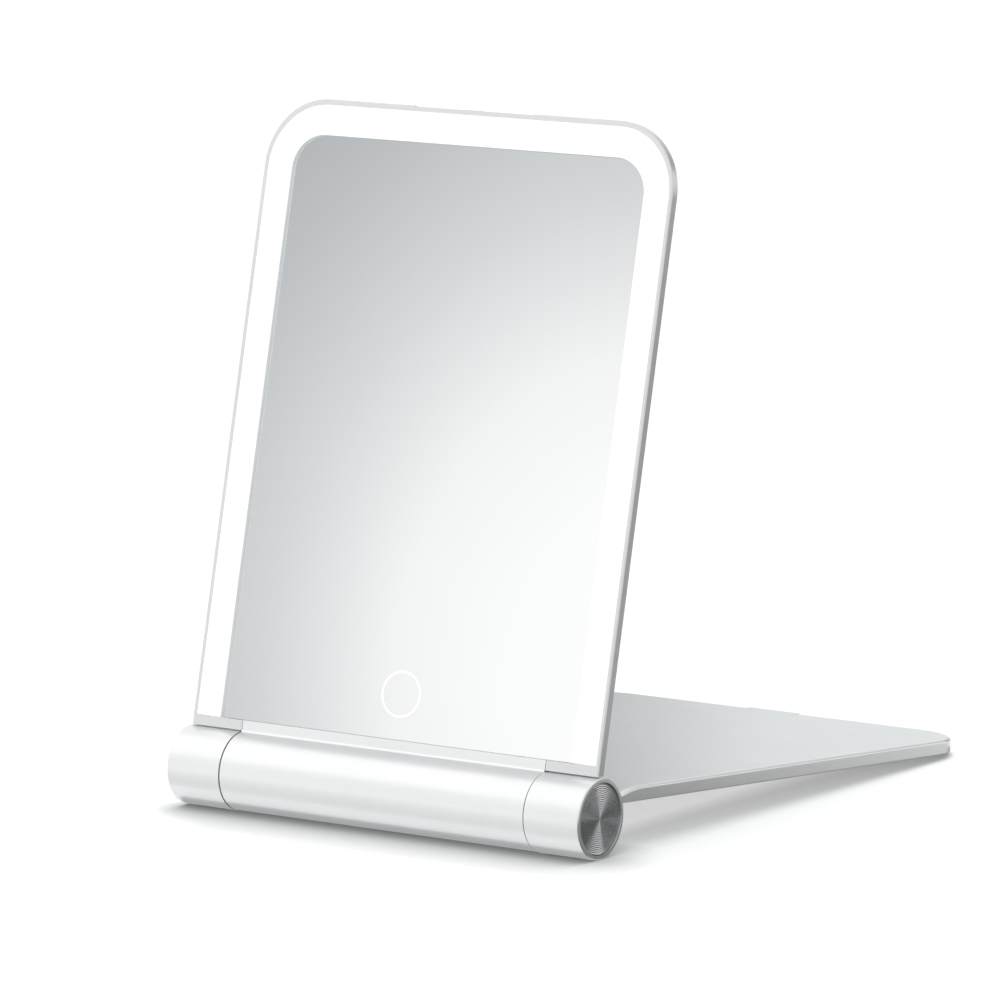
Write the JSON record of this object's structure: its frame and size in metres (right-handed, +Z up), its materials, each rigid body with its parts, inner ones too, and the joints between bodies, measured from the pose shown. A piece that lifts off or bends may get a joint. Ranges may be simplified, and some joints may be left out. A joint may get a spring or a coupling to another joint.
{
  "type": "folding lighted travel mirror",
  "caption": "Folding travel mirror: thin panel with a frosted light band and touch mark, on a round friction hinge barrel that joins it to a flat stand plate.",
  "frame": {"origin": "on the floor, under the middle of the part's box as it stands open", "axes": "+X along the hinge barrel to the charging socket's side, +Y from the mirror's face to its back, along the stand plate, +Z up"},
  "size_m": [0.1316, 0.1992, 0.1868],
  "materials": {
    "satin_silver": "fine satin anodised light silver",
    "turned_disc": "fine turned rings",
    "liner_white": "smooth matt",
    "rubber_grey": "matt",
    "frosted_light": "frosted, lit from its lower ends",
    "mirror_silver": "silvered",
    "ring_white": "clear window in the silvering",
    "film_white": "matt white film",
    "flex_amber": "polyimide film",
    "board_green": "solder mask",
    "led_white": "light source",
    "hinge_steel": "ground steel",
    "bush_bronze": "sintered",
    "plug_grey": "moulded",
    "cell_wrap": "shrink sleeve over a metal can"
  },
  "bodies": {
    "base": {"base_shell": "satin_silver", "base_liner": "liner_white", "closing_magnets": "hinge_steel", "rear_foot": "rubber_grey", "knuckle_pad_left": "rubber_grey", "knuckle_pad_right": "rubber_grey", "friction_bush_left": "bush_bronze", "friction_bush_right": "bush_bronze", "end_cap_left": "turned_disc", "end_cap_right": "turned_disc"},
    "mirror": {"mirror_tray": "satin_silver", "light_guide": "frosted_light", "reflector_film": "film_white", "mirror_glass": "mirror_silver", "mirror_tape": "film_white", "touch_ring": "ring_white", "touch_flex": "flex_amber", "led_board_left": "board_green", "led_board_right": "board_green", "led_chips_left": "led_white", "led_chips_right": "led_white", "latch_plates": "hinge_steel", "center_barrel": "satin_silver", "flange_tape": "film_white", "barrel_plug_left": "plug_grey", "barrel_plug_right": "plug_grey", "hinge_pin_left": "hinge_steel", "hinge_pin_right": "hinge_steel", "spring_washer_left": "hinge_steel", "spring_washer_right": "hinge_steel", "hinge_nut_left": "hinge_steel", "hinge_nut_right": "hinge_steel", "battery_cell": "cell_wrap", "control_board": "board_green", "usb_socket": "hinge_steel"}
  },
  "joints": [
    {"name": "mirror_fold", "type": "hinge", "parent": "base", "child": "mirror", "pos_m": [0, -0.0889, 0.01066], "axis": [1, 0, 0], "range_deg": [-30, 278.3]}
  ]
}
